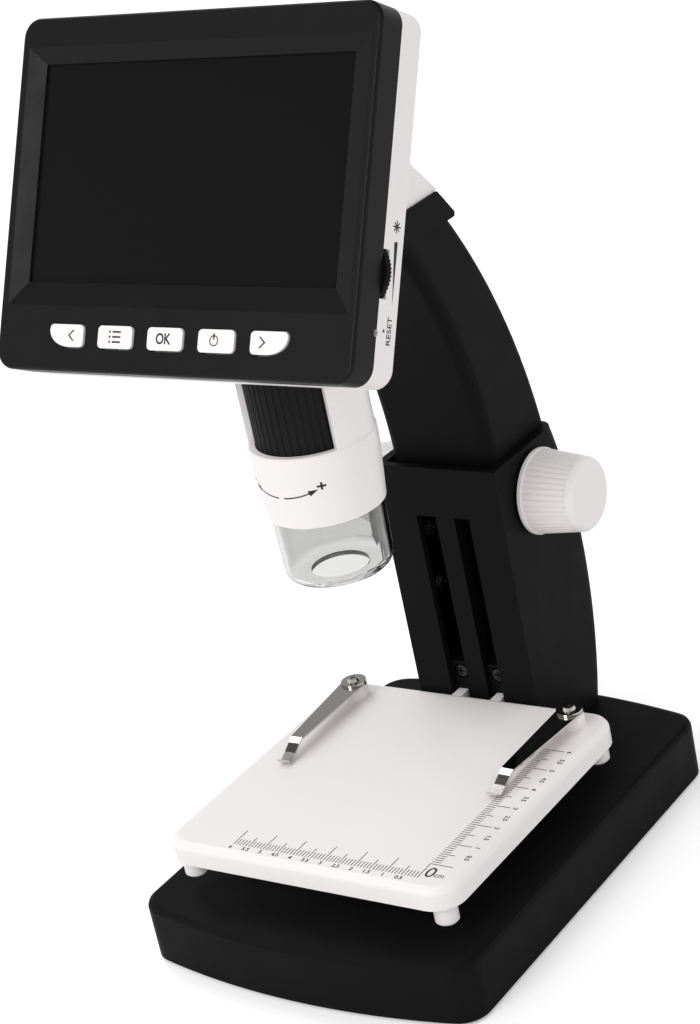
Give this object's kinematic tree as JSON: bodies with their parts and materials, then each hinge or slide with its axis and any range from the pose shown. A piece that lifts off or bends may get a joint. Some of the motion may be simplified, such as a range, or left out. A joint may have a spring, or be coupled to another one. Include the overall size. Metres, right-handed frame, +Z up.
{
  "type": "digital microscope",
  "caption": "Digital microscope with a tilted display head on a curved arm, a camera barrel with a focus ring, and a rack-driven stage with slide clips.",
  "frame": {"origin": "on the table, at the middle of the ground that the object covers", "axes": "+X to the right of a user facing the display, +Y away from the user, +Z up"},
  "size_m": [0.1119, 0.1504, 0.2563],
  "materials": {
    "black_abs": "moulded black ABS, fine satin texture",
    "black_gloss": "moulded black ABS, semi-gloss",
    "white_abs": "moulded white ABS, satin",
    "rubber_black": "matte moulded rubber",
    "steel": "bright steel",
    "polished_steel": "polished spring steel",
    "brass": "turned brass",
    "circuit_board": "green solder mask",
    "display": "dark display glass, glossy",
    "lens_glass": "polished optical glass",
    "clear_acrylic": "clear moulded acrylic",
    "led_white": "white LED package",
    "silicon": "packaged image sensor",
    "panel_metal": "pressed metal back of the display panel",
    "cell_foil": "foil wrapped lithium cell"
  },
  "bodies": {
    "root": {"base_shell": "black_abs", "base_cover": "black_abs", "rubber_feet": "rubber_black", "base_screws": "steel", "ballast_plate": "steel", "column_screws": "steel", "column_left": "black_abs", "column_right": "black_abs", "column_half_screws": "steel", "guide_rail": "black_abs", "guide_bars": "black_abs", "guide_screws": "steel", "arm_left": "black_abs", "arm_right": "black_abs", "arm_screws": "steel", "arm_collar": "black_abs", "shaft_bushes": "brass", "knob_washers": "rubber_black", "barrel_body": "white_abs", "clear_shade": "clear_acrylic", "led_board": "circuit_board", "leds": "led_white", "lens_guide_pins": "steel", "sensor_holder": "black_abs", "ir_filter": "lens_glass", "image_sensor": "silicon", "sensor_board": "circuit_board", "rear_cover": "white_abs", "front_bezel": "black_gloss", "display_glass": "display", "display_panel": "panel_metal", "main_board": "circuit_board", "battery": "cell_foil", "keypad_board": "circuit_board", "dimmer_pot": "silicon", "side_sockets": "steel", "head_screws": "steel"},
    "stage": {"stage_plate": "white_abs", "stage_feet": "white_abs", "clip_posts": "white_abs", "clip_screws": "polished_steel", "carriage": "black_abs", "carriage_screws": "steel", "rack": "black_abs", "rack_screws": "steel"},
    "clip_left_arm": {"clip_left": "polished_steel"},
    "clip_right_arm": {"clip_right": "polished_steel"},
    "drive": {"knob_shaft": "steel", "pinion": "brass", "knob_left": "white_abs", "knob_right": "white_abs"},
    "focus": {"focus_ring": "rubber_black"},
    "lens": {"lens_carrier": "black_abs", "lenses": "lens_glass"},
    "dimmer": {"dimmer_wheel": "black_abs"},
    "prev_key": {"button_prev": "white_abs"},
    "menu_key": {"button_menu": "white_abs"},
    "ok_key": {"button_ok": "white_abs"},
    "power_key": {"button_power": "white_abs"},
    "next_key": {"button_next": "white_abs"}
  },
  "joints": [
    {"name": "stage_lift", "type": "slide", "parent": "root", "child": "stage", "axis": [0, 0, 1], "range_m": [-0.004, 0.052]},
    {"name": "knob_spin", "type": "hinge", "parent": "root", "child": "drive", "pos_m": [0, 0.0527, 0.0933], "axis": [1, 0, 0], "range_deg": [-500, 40]},
    {"name": "clip_left_swing", "type": "hinge", "parent": "stage", "child": "clip_left_arm", "pos_m": [-0.037, 0.0236, 0.0393], "axis": [0, 0, 1], "range_deg": [-10, 58]},
    {"name": "clip_right_swing", "type": "hinge", "parent": "stage", "child": "clip_right_arm", "pos_m": [0.037, 0.0236, 0.0393], "axis": [0, 0, 1], "range_deg": [-58, 10]},
    {"name": "focus_turn", "type": "hinge", "parent": "root", "child": "focus", "pos_m": [0, -0.0162, 0.156], "axis": [0, 0, 1], "range_deg": [-240, 360]},
    {"name": "lens_slide", "type": "slide", "parent": "root", "child": "lens", "axis": [0, 0, 1], "range_m": [-0.0041, 0.0061]},
    {"name": "dimmer_turn", "type": "hinge", "parent": "root", "child": "dimmer", "pos_m": [0.0473, -0.04547, 0.19716], "axis": [0, 0.8813, -0.4726], "range_deg": [-135, 135]},
    {"name": "prev_press", "type": "slide", "parent": "root", "child": "prev_key", "axis": [0, 0.8813, -0.4726], "range_m": [0, 0.0006], "stiffness_N_per_m": 800, "springref_m": -0.0004},
    {"name": "menu_press", "type": "slide", "parent": "root", "child": "menu_key", "axis": [0, 0.8813, -0.4726], "range_m": [0, 0.0006], "stiffness_N_per_m": 800, "springref_m": -0.0004},
    {"name": "ok_press", "type": "slide", "parent": "root", "child": "ok_key", "axis": [0, 0.8813, -0.4726], "range_m": [0, 0.0006], "stiffness_N_per_m": 800, "springref_m": -0.0004},
    {"name": "power_press", "type": "slide", "parent": "root", "child": "power_key", "axis": [0, 0.8813, -0.4726], "range_m": [0, 0.0006], "stiffness_N_per_m": 800, "springref_m": -0.0004},
    {"name": "next_press", "type": "slide", "parent": "root", "child": "next_key", "axis": [0, 0.8813, -0.4726], "range_m": [0, 0.0006], "stiffness_N_per_m": 800, "springref_m": -0.0004}
  ],
  "couplings": [
    {"joint": "knob_spin", "follows": "stage_lift", "rad_per_m": -166.67},
    {"joint": "lens_slide", "follows": "focus_turn", "m_per_rad": 0.00095493}
  ]
}
